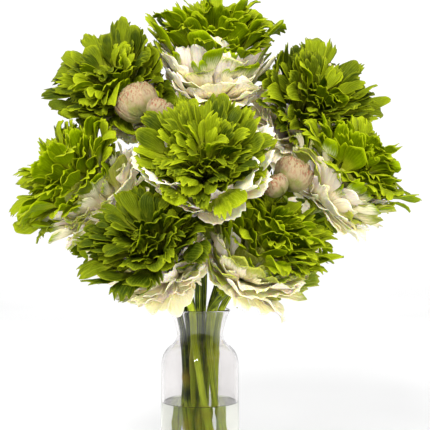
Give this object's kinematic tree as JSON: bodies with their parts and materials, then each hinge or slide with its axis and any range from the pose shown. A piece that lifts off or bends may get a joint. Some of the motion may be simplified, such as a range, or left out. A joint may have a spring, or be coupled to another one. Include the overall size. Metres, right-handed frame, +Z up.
{
  "type": "bunch of pompon ranunculus in a glass vase",
  "caption": "Bunch of pompon ranunculus with frilled green crowns over cream outer petals and a few blush buds, standing in water in a clear glass bottle vase.",
  "frame": {"origin": "centre of the vase's foot, where it rests", "axes": "+Z up along the vase's axis; -Y towards the side that the bunch is made to be seen from; +X to the right in that view"},
  "size_m": [0.3084, 0.2525, 0.4187],
  "materials": {
    "clear_glass": "clear, polished",
    "water": "clear still water",
    "stem": "smooth fresh stem, slightly waxy",
    "green_petal": "satin petal, veined, with paler margins",
    "cream_petal": "soft papery petal with fine veins",
    "bud_petal": "soft petal, blushed and flecked"
  },
  "bodies": {
    "root": {"vase": "clear_glass", "water": "water", "stem_top": "stem", "outer_petals_top": "cream_petal", "crown_top": "green_petal", "stem_upper_left": "stem", "outer_petals_upper_left": "cream_petal", "crown_upper_left": "green_petal", "stem_upper_right": "stem", "outer_petals_upper_right": "cream_petal", "crown_upper_right": "green_petal", "stem_left": "stem", "outer_petals_left": "cream_petal", "crown_left": "green_petal", "stem_right": "stem", "outer_petals_right": "cream_petal", "crown_right": "green_petal", "stem_centre": "stem", "outer_petals_centre": "cream_petal", "crown_centre": "green_petal", "stem_lower_left": "stem", "outer_petals_lower_left": "cream_petal", "crown_lower_left": "green_petal", "stem_lower_right": "stem", "outer_petals_lower_right": "cream_petal", "crown_lower_right": "green_petal", "stem_back_left": "stem", "outer_petals_back_left": "cream_petal", "crown_back_left": "green_petal", "stem_back_right": "stem", "outer_petals_back_right": "cream_petal", "crown_back_right": "green_petal", "stem_back_top": "stem", "outer_petals_back_top": "cream_petal", "crown_back_top": "green_petal", "bud_left_large": "bud_petal", "bud_left_small": "bud_petal", "bud_right_large": "bud_petal", "bud_right_small": "bud_petal"}
  },
  "joints": []
}
